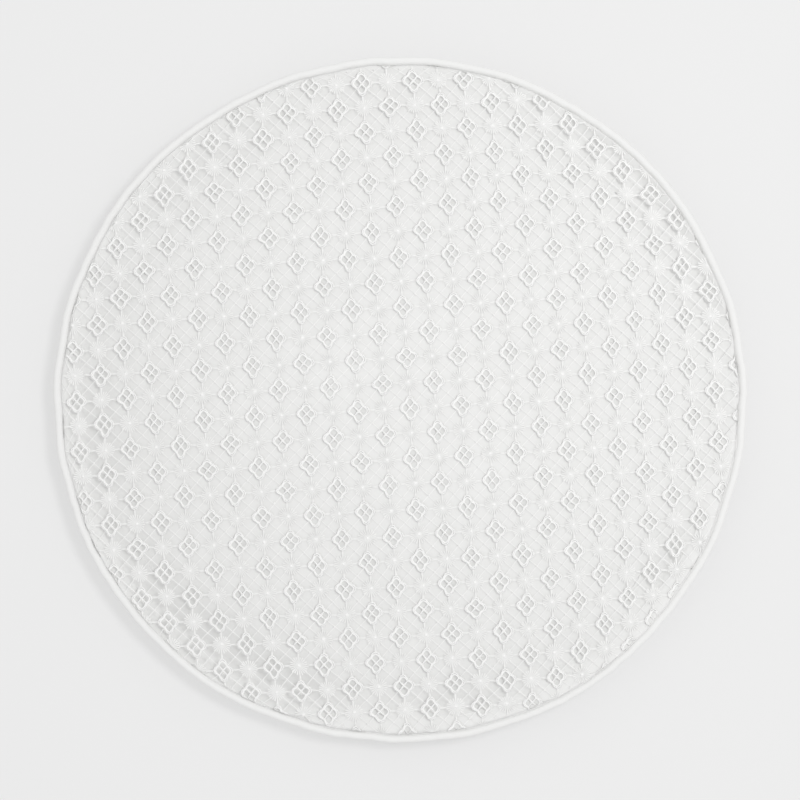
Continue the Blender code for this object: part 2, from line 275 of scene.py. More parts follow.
lining_cotton = woven("plain_weave_cotton_lining", "#EDEDEC", 0.7 * MM, 0.06 * MM)
bias_cotton = woven("bias_cut_cotton_strip", "#EFEFEE", 0.7 * MM, 0.05 * MM, turn=math.radians(45))
back_cotton = woven("natural_cotton_back", "#EEEDEA", 0.9 * MM, 0.10 * MM)
casing_cotton = woven("plain_weave_casing", "#F1F0ED", 0.8 * MM, 0.08 * MM)
print("four woven cottons")


# %% A flat map for a cloth that lies over a dome or bowl
def polar(points):
    """Each point's distance from the cushion's axis, and its direction round it."""
    return np.hypot(points[:, 0], points[:, 1]), np.arctan2(points[:, 1], points[:, 0])


def map_flat(obj, run=None):
    """Lays each point at its own direction, as far out as the cloth runs from its middle."""
    points = points_of(obj)
    radius = polar(points)[0]
    out = radius if run is None else run(radius, points[:, 2])
    share = np.divide(out, radius, out=np.ones_like(radius), where=radius > 1e-9)
    flat = points[:, :2] * share[:, None]
    write_map(obj, flat[corner_points(obj)])


def corner_points(obj):
    index = np.empty(len(obj.data.loops), np.int32)
    obj.data.loops.foreach_get("vertex_index", index)
    return index


def write_map(obj, corners):
    layer = obj.data.uv_layers.get(FLAT_MAP) or obj.data.uv_layers.new(name=FLAT_MAP)
    layer.data.foreach_set("uv", corners.astype(np.float32).ravel())


def map_ring(obj, run):
    """Maps a band that goes round the cushion: along it in metres, and across it as run says."""
    points = points_of(obj)
    index = corner_points(obj)
    radius, angle = polar(points)
    angle = angle[index]
    for face in obj.data.polygons:
        part = slice(face.loop_start, face.loop_start + face.loop_total)
        if np.ptp(angle[part]) > math.pi:
            angle[part] = np.where(angle[part] < 0, angle[part] + math.tau, angle[part])
    across = run(radius, points[:, 2])[index]
    write_map(obj, np.stack([angle * radius.max(), across], axis=1))


# %% [markdown]
# ## Where the layers run
# These lines say how high each layer is at each radius, in the frame's own sizes. The lace lies on
# a low dome, leaves it near the rim, and runs straight to the seam beside the piping. The rim of a
# sewn cushion is never a perfect circle, so it is a little wider across than it is deep.

# %% Lines
SEAM_Z = 0.022
RING_RADIUS = 0.19775  # of the middle of the piping
PIPING_RADIUS = 0.00225
LACE_THICK = 0.0012
LINING_FOOT = 0.02325
LINING_RISE = 0.016
LINING_RADIUS = 0.180
DOME_POWER = 0.8
LACE_LIFT = 0.0017  # from the lining's line to the top of the lace
LACE_LEAVES = 0.146
LACE_LEVEL = (0.1915, 0.02475)  # radius and height where the lace reaches the seam
LACE_EDGE = 0.1946
RIM_STRETCH = 0.0011
ALLOWANCE_RADIUS = 0.1865
SEAM_RADIUS = 0.1955
SEAM_DROP = 0.0022
ZIP_FROM, ZIP_TO = math.radians(-103), math.radians(-7)
HOLLOWS = (  # direction and half width in degrees, and depth in millimetres
    (186, 9, 5.4), (228, 13, 7.8), (249, 6, 5.0), (279, 8, 4.6), (302, 5, 1.4),
    (329, 6, 3.8), (355, 5, 1.4), (21, 7, 3.4), (38, 5, 4.4), (54, 5, 3.8),
    (67, 4, 2.2), (98, 5, 1.2), (121, 5, 2.4), (137, 8, 3.2), (160, 5, 1.6),
)


def dome(radius, foot, rise, reach):
    return foot + rise * np.maximum(0.0, 1 - (radius / reach) ** 2) ** DOME_POWER


def lace_under(radius):
    """Height of the underside of the lace."""
    over = dome(radius, LINING_FOOT + LACE_LIFT, LINING_RISE, LINING_RADIUS)
    leaves = dome(LACE_LEAVES, LINING_FOOT + LACE_LIFT, LINING_RISE, LINING_RADIUS)
    fall = (leaves - LACE_LEVEL[1]) / (LACE_LEVEL[0] - LACE_LEAVES)
    straight = leaves - (radius - LACE_LEAVES) * fall
    top = np.where(radius < LACE_LEAVES, over, np.maximum(straight, LACE_LEVEL[1]))
    return top - LACE_THICK


def rim_shift(angle):
    """How far the rim stands outside a true circle."""
    slow = RIM_STRETCH * np.cos(2 * angle) + 0.0003 * np.sin(5 * angle + 0.6)
    middling = 0.35 * MM * np.sin(19 * angle + 3 * np.sin(4 * angle))
    return slow + middling + 0.15 * MM * np.sin(53 * angle + 5 * np.sin(7 * angle))


def off_zip(angle):
    """0 along the zip, and 1 from a little beyond its ends."""
    away = np.minimum(np.abs(angle - ZIP_FROM), np.abs(angle - ZIP_TO))
    return np.where((angle > ZIP_FROM) & (angle < ZIP_TO), 0.0, np.clip(away / math.radians(8), 0, 1))


def hollow_depth(angle):
    """How deep the filling leaves a hollow near the rim, in each direction."""
    depth = np.full(len(angle), 0.6)
    for way, width, deep in HOLLOWS:
        away = (np.degrees(angle) - way + 180) % 360 - 180
        depth += deep * np.exp(-0.5 * (away / width) ** 2)
    return depth * MM


def allowance_fall(angle):
    """How far the allowances reach down and inwards. They tip most at the hollows, and not along the zip."""
    width = SEAM_RADIUS - ALLOWANCE_RADIUS
    down = np.minimum(SEAM_DROP + 0.65 * hollow_depth(angle), 0.85 * width) * off_zip(angle)
    return down, np.sqrt(width**2 - down**2)


def seam_drop(radius, angle):
    """How far the allowances lie below the seam."""
    down, inward = allowance_fall(angle)
    return down * np.clip((SEAM_RADIUS - radius) / inward, 0, 1)


def ripple(x, y, waves):
    """Slow waves over the cloth. Each wave is its length, its direction and its start."""
    total = np.zeros_like(x)
    for length, direction, start in waves:
        along = x * math.cos(direction) + y * math.sin(direction)
        total += np.sin(math.tau * along / length + start)
    return total / len(waves)


print("lace from", round(float(lace_under(0.0)) / MM, 2), "to", round(float(lace_under(0.19)) / MM, 2))

# %% [markdown]
# ## The lace
# Guipure lace is embroidered on a ground that is then dissolved, so only thread is left. A raised
# flower with four petal holes and a star of fine spokes change places like the squares of a chess
# board. Bars of doubled thread join them along the rows, and single threads cross between them. A
# texture of holes would look flat, because each thread lifts off the lining and shades it. So every
# thread is drawn as a curve, one block of two by two motifs is turned into a mesh, two arrays
# repeat it, and the whole is laid over the dome.


# %% Curves that become threads
def new_curve(name, half, sides=1):
    """An empty curve whose lines become round threads or wires, closed at their ends."""
    data = bpy.data.curves.new(name, "CURVE")
    data.dimensions = "3D"
    data.bevel_depth = half
    data.bevel_resolution = sides
    data.use_fill_caps = True
    return new_object(name, data)


def add_line(obj, places, closed=False):
    line = obj.data.splines.new("POLY")
    line.points.add(len(places) - 1)
    line.use_cyclic_u = closed
    for point, place in zip(line.points, places):
        point.co = (*place, 1)
    return line


def curves_to_mesh(*curves):
    select_only(*curves)
    bpy.ops.object.convert(target="MESH")
    bpy.ops.object.shade_smooth()


# %% The repeat
STEP_ACROSS = Vector((14.74, 0.81, 0)) * MM
STEP_UP = Vector((-1.00, 14.48, 0)) * MM
FIRST_MOTIF = Vector((5.8, -4.6, 0)) * MM
BLOCKS = 15
CORD_HALF = 0.54 * MM
LIFT_WAY, LIFT = math.radians(225), 0.20 * MM  # where the outer cord stands higher, and by how much
STRETCH = (0.93, 1.06)  # of a flower, across and up
LOWER_TIP = 0.03
OUTER_RING, INNER_RING = (0.350, 0.068), (0.300, 0.052)  # radius and lobe, in steps of the repeat
SPOKES, SPOKE_FROM, SPOKE_ENDS = 22, 0.07, (0.33, 0.36)
BAR_TO, BARS_APART = 0.68, 0.03
FINE_HALF = 0.20 * MM
FLOWERS = ((0, 0), (1, 1))  # the middles of the motifs in one block, in steps of the repeat
STARS = ((1, 0), (0, 1))
CORNERS = ((0.5, 0.5), (-0.5, 0.5), (0.5, -0.5), (-0.5, -0.5))


def in_block(place, height):
    return place[0] * STEP_ACROSS + place[1] * STEP_UP + Vector((0, 0, height))


def thread(obj, places, height, half, closed=False):
    """One thread through places in steps of the repeat. Its height and half width may change along it."""
    levels = [height] * len(places) if isinstance(height, float) else height
    halves = [half] * len(places) if isinstance(half, float) else half
    line = add_line(obj, [in_block(place, level) for place, level in zip(places, levels)], closed)
    for point, wide in zip(line.points, halves):
        point.radius = wide / MM


def ring(middle, radius, lobe, count):
    """Points round a flower. The lobe adds four bulges."""
    places = []
    for i in range(count):
        angle = i / count * math.tau
        reach = radius + lobe * math.cos(4 * angle) + LOWER_TIP * max(0.0, -math.sin(angle)) ** 8
        across = reach * STRETCH[0] * math.cos(angle)
        up = reach * STRETCH[1] * math.sin(angle)
        places.append((middle[0] + across, middle[1] + up))
    return places


# %% One block of the repeat
cords = new_curve("lace_cords", MM, 0)
fine = new_curve("lace_fine_threads", MM, 0)
three_sided = new_curve("three_sided", 0.0)
turns = [math.radians(120 * i - 90) for i in range(3)]
add_line(three_sided, [(MM * math.cos(turn), MM * math.sin(turn), 0) for turn in turns], closed=True)
three_sided.data.dimensions = "2D"
three_sided.data.fill_mode = "NONE"
cords.data.twist_mode = fine.data.twist_mode = "Z_UP"
fine.data.bevel_mode = "OBJECT"
fine.data.bevel_object = three_sided

turns = [i / 24 * math.tau for i in range(24)]
levels = [0.52 * MM + LIFT * max(0.0, math.cos(turn - LIFT_WAY)) for turn in turns]
for middle in FLOWERS:
    thread(cords, ring(middle, *OUTER_RING, 24), levels, CORD_HALF, closed=True)
    thread(fine, ring(middle, *INNER_RING, 16), 0.50 * MM, 0.45 * MM, closed=True)
    for way in (1, -1):
        arm = [(middle[0] + t * 0.19, middle[1] + way * t * 0.215) for t in (-1, 0, 1)]
        thread(cords, arm, 0.46 * MM, [0.36 * MM, 0.72 * MM, 0.36 * MM])

for middle in STARS:
    for i in range(SPOKES):
        angle = (i + 0.5) / SPOKES * math.tau
        way = Vector((math.cos(angle), math.sin(angle)))
        reach = SPOKE_ENDS[i % 2]
        ends = [(middle[0] + way.x * r, middle[1] + way.y * r) for r in (SPOKE_FROM, reach)]
        thread(fine, ends, 0.62 * MM, [0.14 * MM, 0.38 * MM])

for middle in FLOWERS:
    for way_x, way_y in ((1, 0), (-1, 0), (0, 1), (0, -1)):
        for apart in (BARS_APART, -BARS_APART):
            start = (middle[0] + 0.40 * way_x - apart * way_y, middle[1] + 0.42 * way_y + apart * way_x)
            end = (middle[0] + BAR_TO * way_x, middle[1] + BAR_TO * way_y)
            thread(fine, [start, end], 0.35 * MM, FINE_HALF)
for corner in CORNERS:
    for slant in (1, -1):
        from_motif = abs(corner[0] - slant * corner[1]) < 0.01
        reach = 0.31 if from_motif else 0.36
        ends = [(corner[0] - t, corner[1] - slant * t) for t in (-reach, reach)]
        thread(fine, ends, 0.30 * MM, FINE_HALF)
print("splines in a block", len(cords.data.splines) + len(fine.data.splines))

# %% The solid middles of the stars, and the knots where threads cross
solids = []
for middle in STARS:
    place = in_block(middle, 0.50 * MM)
    select_only()
    bpy.ops.mesh.primitive_uv_sphere_add(segments=10, ring_count=3, radius=1.45 * MM, location=place)
    bpy.ops.transform.resize(value=(1, 1, 0.12))
    solids.append(named("star_middle"))
for corner in CORNERS:
    place = in_block(corner, 0.32 * MM)
    select_only()
    bpy.ops.mesh.primitive_uv_sphere_add(segments=4, ring_count=2, radius=0.55 * MM, location=place)
    solids.append(named("knot"))
curves_to_mesh(cords, fine)
select_only(cords, fine, *solids)
bpy.ops.object.transform_apply(location=True, rotation=True, scale=True)
bpy.ops.object.join()
lace = named("lace_panel_threads")
bpy.data.objects.remove(three_sided)
print("one block:", len(lace.data.vertices), "vertices")


# %% Repeat the block, and leave out the threads beyond the rim
def islands(obj):
    """A number for each vertex, the same for all the vertices of one thread."""
    label = np.arange(len(obj.data.vertices))
    pairs = np.empty(len(obj.data.edges) * 2, np.int32)
    obj.data.edges.foreach_get("vertices", pairs)
    pairs = pairs.reshape(-1, 2)
    while True:
        low = np.minimum(label[pairs[:, 0]], label[pairs[:, 1]])
        before = label.copy()
        np.minimum.at(label, pairs[:, 0], low)
        np.minimum.at(label, pairs[:, 1], low)
        if (label == before).all():
            return label


block_label = islands(lace)
block_size = len(block_label)
for step in (STEP_ACROSS, STEP_UP):
    array = add_modifier(lace, "ARRAY", count=BLOCKS, use_relative_offset=False, use_constant_offset=True)
    array.constant_offset_displace = 2 * step
apply_all(lace)
flat = points_of(lace)
flat -= np.array((BLOCKS - 1) * (STEP_ACROSS + STEP_UP) - FIRST_MOTIF)
label = np.tile(block_label, BLOCKS * BLOCKS) + np.repeat(np.arange(BLOCKS * BLOCKS), block_size) * block_size
slow_x = ((0.11, 0.3, 0.5), (0.07, 1.2, 2.0), (0.23, 2.3, 4.0))
slow_y = ((0.13, 0.9, 1.5), (0.08, 0.1, 0.7), (0.19, 2.0, 3.0))
fine_x = ((0.021, 0.7, 0.5), (0.013, 2.4, 2.0), (0.031, 1.6, 4.0))
fine_y = ((0.023, 0.2, 1.5), (0.014, 1.8, 0.7), (0.029, 2.7, 3.0))
flat[:, 0] += 0.45 * MM * ripple(flat[:, 1], flat[:, 0], slow_x)
flat[:, 1] += 0.45 * MM * ripple(flat[:, 0], flat[:, 1], slow_y)
flat[:, 0] += 0.62 * MM * ripple(flat[:, 0], flat[:, 1], fine_x)
flat[:, 1] += 0.62 * MM * ripple(flat[:, 1], flat[:, 0], fine_y)
radius, angle = polar(flat)
edge = LACE_EDGE + rim_shift(angle)
nearest = np.full(len(flat), np.inf)
np.minimum.at(nearest, label, radius - edge)
beyond = nearest[label] > -0.0002
print("threads kept:", len(np.unique(label[~beyond])), "of", len(np.unique(label)))

# %% Lay it over the dome
past = np.maximum(0.0, radius - edge)
laid_radius = np.where(past > 0, edge + 0.05 * past, radius)
share = laid_radius / np.maximum(radius, 1e-9)
draped = flat.copy()
draped[:, :2] *= share[:, None]
tuck = np.minimum(past, 0.0010)
draped[:, 2] = flat[:, 2] + lace_under(laid_radius) - tuck
rise = ((0.06, 0.4, 1.0), (0.09, 1.9, 2.5), (0.045, 2.8, 0.3))
draped[:, 2] += 0.25 * MM * ripple(flat[:, 0], flat[:, 1], rise)
set_points(lace, draped)
edit(lace, bpy.ops.mesh.delete, ("VERT", lambda vertex: beyond[vertex.index]), type="VERT")
edit(lace, bpy.ops.mesh.normals_make_consistent, inside=False)
smooth_by(lace, 100)

# %% [markdown]
# ### Lace thread
# The thread is mercerised cotton: treated under tension, so it is round, white and a little silky.
# Fine noise, stretched to the size of a stitch, gives the satin stitch its grain.

# %% Lace finish
settings = {"Sheen_Weight": 0.2, "Specular_IOR_Level": 0.35}
lace_cotton, tree, shader = start_material("mercerised_cotton_lace", "#F7F7F6", 0.62, **settings)
fine_grain(tree, shader, 2200.0, 2.0, 0.12 * MM, 0.8)
done(lace, lace_cotton, "cushion", ["lace_panel"])

# %% [markdown]
# ## Turning and placing
# Most of the other cloths are rings: the piping, the back, the label. Their section is drawn beside
# the axis and spun about it. A section starts as a circle whose points are moved to their places.


# %% Sections and spins
def section(name, places, closed=True):
    """A section given as (radius, height) places. An open one loses the edge from its end to its start."""
    select_only()
    bpy.ops.mesh.primitive_circle_add(vertices=len(places), radius=MM)
    obj = named(name)
    set_points(obj, np.array([(r, 0.0, z) for r, z in places]))
    if not closed:
        last = {0, len(places) - 1}
        edit(obj, bpy.ops.mesh.delete, ("EDGE", lambda edge: set(edge.vertices) == last), type="EDGE")
    return obj


def spin(obj, start, end, steps):
    """Spins a section about the Z axis between two angles, and turns its faces outwards."""
    obj.data.transform(Matrix.Rotation(end, 4, "Z"))
    edit(obj, bpy.ops.mesh.spin, steps=steps, angle=end - start, center=(0, 0, 0), axis=(0, 0, 1))
    edit(obj, bpy.ops.mesh.remove_doubles, threshold=0.005 * MM)
    edit(obj, bpy.ops.mesh.normals_make_consistent, inside=False)
    return obj


def solidify(obj, thickness, offset=-1.0):
    add_modifier(obj, "SOLIDIFY", thickness=thickness, offset=offset)
    apply_all(obj)


def subdivide(obj):
    add_modifier(obj, "SUBSURF", levels=1, render_levels=1)
    apply_all(obj)


def simulate(obj, frames):
    """Runs the piece's cloth simulation, and keeps its last shape."""
    for step in range(1, frames + 1):
        scene.frame_set(step)
    apply_all(obj)
    scene.frame_set(1)


# %% [markdown]
# ## The inner pad
# A bag of plain cotton filled with polyester fibre. Fibre presses evenly on its casing, as cloth
# under pressure does, so the filling is puffed up by a short cloth simulation. How far a point may
# move is capped, because the cover holds it. Real filling leaves hollows near the rim, and the
# lining sinks into them. They are pressed in afterwards.

# %% Puff the filling
PAD_SCALE = 0.975
PAD_LOW, PAD_HIGH = 3.6 * MM, 35.2 * MM
PUFF_CAP = 2.2 * MM
HOLLOW_RADIUS, HOLLOW_WIDTH = 0.187, 0.0130


def hollow(points):
    """How deep the rim is pressed in at each point."""
    radius, angle = polar(points)
    return hollow_depth(angle) * np.exp(-0.5 * ((radius - HOLLOW_RADIUS) / HOLLOW_WIDTH) ** 2)


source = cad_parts["pad_filling"]
filling = new_object("pad_fibre_filling", source.data.copy())
edit(filling, bpy.ops.mesh.remove_doubles, threshold=0.01 * MM)
points = points_of(filling)
low, high = points[:, 2].min(), points[:, 2].max()
points[:, :2] *= PAD_SCALE
points[:, 2] = PAD_LOW + (points[:, 2] - low) * (PAD_HIGH - PAD_LOW) / (high - low)
set_points(filling, points)
add_modifier(filling, "REMESH", mode="VOXEL", voxel_size=5.5 * MM)
apply_all(filling)
before = points_of(filling)
cloth = filling.modifiers.new("Puff", "CLOTH")
cloth.settings.use_pressure = True
cloth.settings.uniform_pressure_force = 4
cloth.settings.effector_weights.gravity = 0
simulate(filling, 20)
after = points_of(filling)
moved = after - before
reach = np.linalg.norm(moved, axis=1, keepdims=True)
after = before + moved * np.minimum(1.0, PUFF_CAP / np.maximum(reach, 1e-9))
above = np.clip((after[:, 2] - 0.016) / 0.004, 0, 1)
after[:, 2] -= above * hollow(after)
after[:, 2] = np.maximum(after[:, 2], 1.9 * MM)
set_points(filling, after)
subdivide(filling)
bpy.ops.object.shade_smooth()
print("filling", [round(v / MM, 1) for v in (*points_of(filling).min(0), *points_of(filling).max(0))])

# %% Fibre, and the casing round it
CASING_GAP, CASING_THICK = 0.15 * MM, 0.35 * MM
fibre, tree, shader = start_material("siliconised_polyester_fibre", "#F4F4F4", 0.95, Sheen_Weight=0.3)
fine_grain(tree, shader, 120.0, 6.0, 1.5 * MM, 0.9)

normals = np.empty(len(filling.data.vertices) * 3)
filling.data.vertices.foreach_get("normal", normals)
outside = points_of(filling) + normals.reshape(-1, 3) * CASING_GAP
PAD_SEAM = 0.017
halves = []
for name, way in (("pad_casing_front", 1), ("pad_casing_back", -1)):
    casing = new_object(name + "_cloth", filling.data.copy())
    set_points(casing, outside)
    edit(casing, bpy.ops.mesh.bisect, plane_co=(0, 0, PAD_SEAM), plane_no=(0, 0, way), clear_inner=True)
    solidify(casing, CASING_THICK, offset=1.0)
    map_flat(casing)
    done(casing, casing_cotton, "cushion", [name])
    halves.append(casing)
done(filling, fibre, "cushion", ["pad_filling"])
print("casing top", round(points_of(halves[0])[:, 2].max() / MM, 2))

# %% [markdown]
# ## The lining
# The white cotton under the lace is a flat disc, caught in the seam and lying on the pad. It is cut
# a little larger than the pad needs, so it keeps soft wrinkles. A grid is rounded into a disc, laid
# just above the pad and left to fall on it under gravity, with its edge held. Only its wrinkles are
# kept, at a set distance below the lace, because a falling sheet can sink through the pad.

# %% Lay the lining on the pad
LINING_EDGE = 0.1950
HELD_RADIUS = 0.1865
RUNS_DOWN = 0.165  # radius from which the lining runs down to the seam
LEAF_TOP = 22.75 * MM
LINING_THICK = 0.35 * MM
SLACK = -0.006
GAP_MIDDLE, GAP_GROWS = 0.55 * MM, 0.9 * MM
WRINKLE_SHARE = 0.35


pad_mesh = halves[0].data
pad_faces = [tuple(face.vertices) for face in pad_mesh.polygons]
pad_top = BVHTree.FromPolygons([vertex.co for vertex in pad_mesh.vertices], pad_faces)


def pad_below(points):
    """The pad's height under each point, or 0 beyond its edge."""
    down = Vector((0, 0, -1))
    hits = [pad_top.ray_cast(Vector((x, y, 0.1)), down)[0] for x, y, _ in points]
    return np.array([hit.z if hit else 0.0 for hit in hits])


select_only()
bpy.ops.mesh.primitive_grid_add(x_subdivisions=88, y_subdivisions=88, size=2)
lining = named("front_lining_cloth")
points = points_of(lining)
x, y = points[:, 0].copy(), points[:, 1].copy()
points[:, 0] = x * np.sqrt(1 - y**2 / 2) * LINING_EDGE
points[:, 1] = y * np.sqrt(1 - x**2 / 2) * LINING_EDGE
radius = polar(points)[0]
above = pad_below(points) + 1.0 * MM
points[:, 2] = np.where(above < 0.012, LEAF_TOP, above)
share = np.clip((radius - RUNS_DOWN) / (HELD_RADIUS - RUNS_DOWN), 0, 1)
points[:, 2] = (1 - share) * points[:, 2] + share * LEAF_TOP
set_points(lining, points)
held = lining.vertex_groups.new(name="held")
held.add([int(i) for i in np.nonzero(radius > HELD_RADIUS)[0]], 1.0, "ADD")
halves[0].modifiers.new("Solid", "COLLISION")
halves[0].collision.thickness_outer = 0.4 * MM
fall = lining.modifiers.new("Fall", "CLOTH")
fall.settings.vertex_group_mass = "held"
fall.settings.shrink_min = SLACK
fall.settings.bending_stiffness = 0.3
fall.collision_settings.distance_min = 0.6 * MM
fall.collision_settings.use_self_collision = False
simulate(lining, 24)
halves[0].modifiers.clear()
points = points_of(lining)
radius, angle = polar(points)
rings = np.minimum((radius / (8 * MM)).astype(int), 30)
level = np.bincount(rings, points[:, 2]) / np.maximum(np.bincount(rings), 1)
mean = np.interp(radius, (np.arange(len(level)) + 0.5) * 8 * MM, level)
wrinkle = np.clip(points[:, 2] - mean, -1.5 * MM, 1.5 * MM)
wrinkle *= WRINKLE_SHARE * np.clip((HELD_RADIUS - radius) / 0.03, 0, 1)
gap = GAP_MIDDLE + GAP_GROWS * np.clip((radius - 0.04) / 0.10, 0, 1) + hollow(points)
laid = lace_under(radius) - gap + wrinkle
foot = LEAF_TOP + LINING_THICK - seam_drop(radius, angle)
laid = np.where(radius > ALLOWANCE_RADIUS - 0.001, np.maximum(laid, foot), laid)
laid = np.where(radius > SEAM_RADIUS - 0.0015, foot, laid)
pad = pad_below(points)
laid = np.where(pad > 0.015, np.maximum(laid, pad + LINING_THICK + 0.1 * MM), laid)
points[:, 2] = np.minimum(laid, lace_under(radius) - 0.45 * MM)
stretch = 1 + rim_shift(angle) * np.clip((radius - RUNS_DOWN) / 0.02, 0, 1) / np.maximum(radius, MM)
points[:, :2] *= stretch[:, None]
set_points(lining, points)
subdivide(lining)
solidify(lining, LINING_THICK)
map_flat(lining)
select_only(lining)
bpy.ops.object.shade_smooth()
done(lining, lining_cotton, "cushion", ["front_lining"])
print("lining crown", round(points_of(lining)[:, 2].max() / MM, 2))

# %% [markdown]
# ## The piping
# A strip cut on the bias and folded round a cord, with its two leaves in the seam. Every stitch or
# two it is drawn in a little, so its edge is finely puckered. It is spun, and each pucker is then
# pressed into it, at uneven places and depths.

# %% Piping strip
STRIP_THICK = 0.4 * MM
LEAF_GAP = 0.15 * MM
RING_STEPS = 540
PUCKERS = 150
PUCKER_DEPTH = 0.34 * MM

leaf = LEAF_GAP + STRIP_THICK
bore = PIPING_RADIUS - STRIP_THICK
profile = [(ALLOWANCE_RADIUS, SEAM_Z + leaf)]
for radius, half, count, way in ((PIPING_RADIUS, leaf, 16, 1), (bore, LEAF_GAP, 10, -1)):
    start = math.pi - math.asin(half / radius)
    for i in range(count + 1):
        angle = way * start * (1 - 2 * i / count)
        profile.append((RING_RADIUS + radius * math.cos(angle), SEAM_Z + radius * math.sin(angle)))
    if way == 1:
        profile += [(ALLOWANCE_RADIUS, SEAM_Z - leaf), (ALLOWANCE_RADIUS, SEAM_Z - LEAF_GAP)]
profile.append((ALLOWANCE_RADIUS, SEAM_Z + LEAF_GAP))
strip = spin(section("piping_strip", profile), 0, math.tau, RING_STEPS)


def across_strip(radius, height):
    """How far across the strip a point lies: round the cord, and along the leaves."""
    round_cord = np.arctan2(height - SEAM_Z, radius - RING_RADIUS) * PIPING_RADIUS
    return round_cord + (radius - RING_RADIUS) * 0.2


map_ring(strip, across_strip)

draw = np.random.RandomState(7)
places = np.cumsum(draw.uniform(0.6, 1.4, PUCKERS))
places = places / places[-1] * math.tau
depths = draw.uniform(0.35, 1.0, PUCKERS)
widths = draw.uniform(0.9, 2.2, PUCKERS) * MM
points = points_of(strip)
radius, angle = polar(points)
across = np.arctan2(points[:, 2] - SEAM_Z, radius - RING_RADIUS)
from_cord = np.hypot(radius - RING_RADIUS, points[:, 2] - SEAM_Z)
lean = angle + across * 0.9 * MM / RING_RADIUS
press = np.zeros(len(points))
for place, deep, width in zip(places, depths, widths):
    away = ((lean - place + math.pi) % math.tau - math.pi) * RING_RADIUS
    press += deep * np.exp(-0.5 * (away / width) ** 2)
on_loop = np.clip((radius - (RING_RADIUS - PIPING_RADIUS)) / MM, 0, 1)
inward = press * PUCKER_DEPTH * on_loop * np.where(from_cord > bore + 0.1 * MM, 1.0, 0.3)
share = 1 - inward / np.maximum(from_cord, MM)
down, inward = allowance_fall(angle)
along = np.clip(SEAM_RADIUS - radius, 0, None) / (SEAM_RADIUS - ALLOWANCE_RADIUS)
loop = RING_RADIUS + (radius - RING_RADIUS) * share
new_radius = np.where(along > 0, SEAM_RADIUS - along * inward, loop) + rim_shift(angle)
points[:, 0] = new_radius * np.cos(angle)
points[:, 1] = new_radius * np.sin(angle)
points[:, 2] = SEAM_Z + (points[:, 2] - SEAM_Z) * share - along * down
set_points(strip, points)
smooth_by(strip, 60)
done(strip, bias_cotton, "cushion", ["piping_cover"])

# %% [markdown]
# ### The cord inside
# Three strands of soft cotton twisted together. Each is one closed curve that winds round the ring.

# %% Piping cord
STRAND_HALF = 0.66 * MM
TWISTS = 100
TWIST_STEPS = 8
strands = []
for strand in range(3):
    places = []
    for i in range(TWISTS * TWIST_STEPS):
        angle = i / (TWISTS * TWIST_STEPS) * math.tau
        twist = i / TWIST_STEPS * math.tau + strand * math.tau / 3
        radius = RING_RADIUS + STRAND_HALF * math.cos(twist) + float(rim_shift(angle))
        height = SEAM_Z + STRAND_HALF * math.sin(twist)
        places.append((radius * math.cos(angle), radius * math.sin(angle), height))
    strands.append(new_curve("strand", STRAND_HALF))
    add_line(strands[-1], places, closed=True)
curves_to_mesh(*strands)
bpy.ops.object.join()
cord = named("piping_cord_strands")
cord_cotton, tree, shader = start_material("twisted_cotton_cord", "#EDEBE6", 0.92, Sheen_Weight=0.2)
fine_grain(tree, shader, 1500.0, 3.0, 0.1 * MM, 0.7)
done(cord, cord_cotton, "cushion", ["piping_cord"])

# %% [markdown]
# ## The back and its zip opening
# The back is one disc of cotton, eased into the seam, so it curves up at the side like a shallow
# bowl. Its section is a superellipse. Along the zip it is cut lower, and the edge of the thick sheet
# stands for the fold. Elsewhere the seam gathers it into puckers that fade downwards.

# %% The line of the back, and the zip's own axes
SIDE_RADIUS = 0.193
REST_RADIUS = 0.125
BACK_TOP = 0.02115
BACK_POWER = 2.5
BACK_THICK = 0.7 * MM
ZIP_Z = 0.0145
ZIP_DEPTH = 0.0022
OPENING_EDGE = 0.0047
BACK_STEPS = 360


def side_place(t):
    """A place on the side of the back. t is 0 at the top and 1 at the edge of the flat patch."""
    across = max(0.0, math.cos(t * math.pi / 2)) ** (2 / BACK_POWER)
    down = math.sin(t * math.pi / 2) ** (2 / BACK_POWER)
    return Vector((REST_RADIUS + (SIDE_RADIUS - REST_RADIUS) * across, BACK_TOP * (1 - down)))


def zip_directions():
    """The zip's middle, and the directions up across it and outwards, all as (radius, height)."""
    drop = 1 - ZIP_Z / BACK_TOP
    rest = 1 - drop**BACK_POWER
    reach = SIDE_RADIUS - REST_RADIUS
    slope = reach / BACK_TOP * drop ** (BACK_POWER - 1) * rest ** (1 / BACK_POWER - 1)
    up = Vector((slope, 1)).normalized()
    out = Vector((up.y, -up.x))
    on_side = Vector((REST_RADIUS + reach * rest ** (1 / BACK_POWER), ZIP_Z))
    return on_side - ZIP_DEPTH * out, up, out


ZIP_MIDDLE, ZIP_UP, ZIP_OUT = zip_directions()


def zip_place(angle):
    """X along the zip, Y up across it and Z outwards, at an angle round the cushion."""
    up, out, middle = ZIP_UP, ZIP_OUT, ZIP_MIDDLE
    axes = Matrix(((0, up.x, out.x, middle.x), (1, 0, 0, 0), (0, up.y, out.y, middle.y), (0, 0, 0, 1)))
    return Matrix.Rotation(angle, 4, "Z") @ axes


low, high = 0.0, 1.0
for _ in range(40):
    fold = (low + high) / 2
    if (side_place(fold) - ZIP_MIDDLE).dot(ZIP_UP) > -OPENING_EDGE:
        low = fold
    else:
        high = fold
print("the fold lies at height", round(side_place(fold).y / MM, 2), "mm")


# %% Back panel
FLARE_OUT, FLARE_DOWN, FLARE_FROM = 2.3 * MM, 1.5 * MM, 0.0135
END_COVER = math.radians(2)  # of each tape's end, under the cloth
ABOVE_FOLD, BELOW_FOLD, FLAT_RINGS = 10, 20, 7


def move_out(points, angle, shift):
    points[:, 0] += shift * np.cos(angle)
    points[:, 1] += shift * np.sin(angle)


